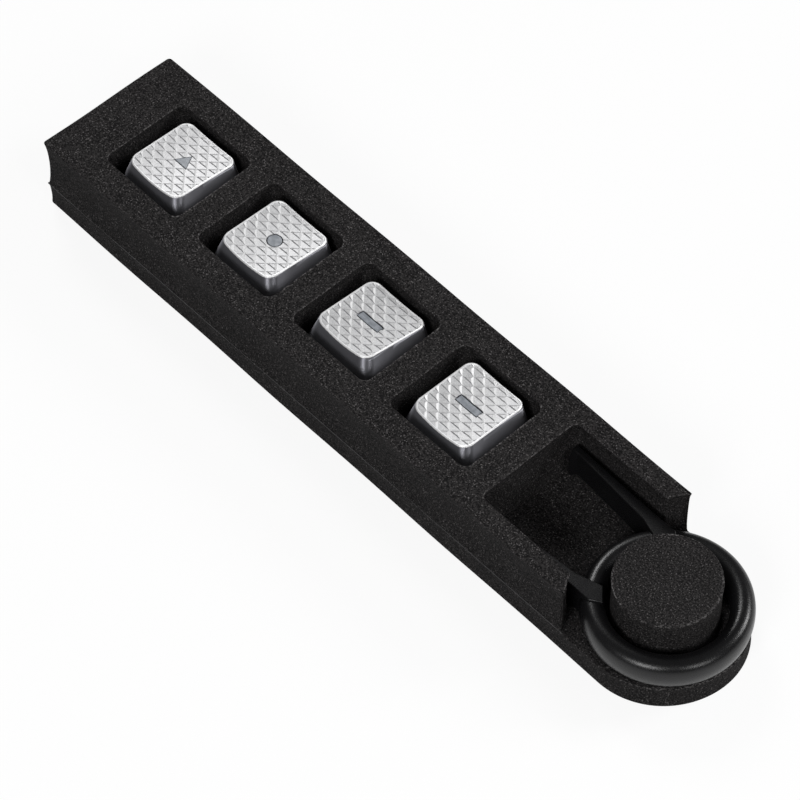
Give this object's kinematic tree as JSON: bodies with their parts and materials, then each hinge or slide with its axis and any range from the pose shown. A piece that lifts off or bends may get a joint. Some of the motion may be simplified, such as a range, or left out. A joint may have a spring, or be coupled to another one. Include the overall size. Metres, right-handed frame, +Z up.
{
  "type": "keycap set with puller in a foam tray",
  "caption": "Foam tray with square pockets for silver-topped keycaps that lift out, and a bay for a ring-handled keycap puller whose hooked arms flex.",
  "frame": {"origin": "under the middle of the whole set, on the surface that it rests on", "axes": "+X along the tray from its square end to its round end, +Y towards the backs of the keycaps, +Z up"},
  "size_m": [0.1582, 0.03, 0.0166],
  "materials": {
    "foam": "matte",
    "bond_film": "matte",
    "keycap_skirt": "satin",
    "keycap_top": "satin",
    "keycap_window": "gloss",
    "keycap_stem": "satin",
    "puller_plastic": "gloss"
  },
  "bodies": {
    "tray": {"foam_base_sheet": "foam", "foam_tray_sheet": "foam", "foam_ring_core": "foam", "tray_bond_film": "bond_film", "core_bond_film": "bond_film"},
    "keycap_1": {"keycap_shell_1": "keycap_skirt", "keycap_plate_1": "keycap_top", "keycap_window_1": "keycap_window", "keycap_stem_1": "keycap_stem"},
    "keycap_2": {"keycap_shell_2": "keycap_skirt", "keycap_plate_2": "keycap_top", "keycap_window_2": "keycap_window", "keycap_stem_2": "keycap_stem"},
    "keycap_3": {"keycap_shell_3": "keycap_skirt", "keycap_plate_3": "keycap_top", "keycap_window_3": "keycap_window", "keycap_stem_3": "keycap_stem"},
    "keycap_4": {"keycap_shell_4": "keycap_skirt", "keycap_plate_4": "keycap_top", "keycap_window_4": "keycap_window", "keycap_stem_4": "keycap_stem"},
    "puller": {"puller_ring": "puller_plastic"},
    "puller_left": {"puller_arm_left": "puller_plastic"},
    "puller_right": {"puller_arm_right": "puller_plastic"}
  },
  "joints": [
    {"name": "keycap_1_lift", "type": "slide", "parent": "tray", "child": "keycap_1", "axis": [0, 0, 1], "range_m": [0, 0.02]},
    {"name": "keycap_2_lift", "type": "slide", "parent": "tray", "child": "keycap_2", "axis": [0, 0, 1], "range_m": [0, 0.02]},
    {"name": "keycap_3_lift", "type": "slide", "parent": "tray", "child": "keycap_3", "axis": [0, 0, 1], "range_m": [0, 0.02]},
    {"name": "keycap_4_lift", "type": "slide", "parent": "tray", "child": "keycap_4", "axis": [0, 0, 1], "range_m": [0, 0.02]},
    {"name": "puller_lift", "type": "slide", "parent": "tray", "child": "puller", "axis": [0, 0, 1], "range_m": [0, 0.02]},
    {"name": "arm_left_flex", "type": "hinge", "parent": "puller", "child": "puller_left", "pos_m": [0.05063, -0.00905, 0.00835], "axis": [0, 0, -1], "range_deg": [-0.5, 4], "stiffness_Nm_per_rad": 0.8},
    {"name": "arm_right_flex", "type": "hinge", "parent": "puller", "child": "puller_right", "pos_m": [0.05063, 0.00905, 0.00835], "axis": [0, 0, 1], "range_deg": [-0.5, 4], "stiffness_Nm_per_rad": 0.8}
  ]
}
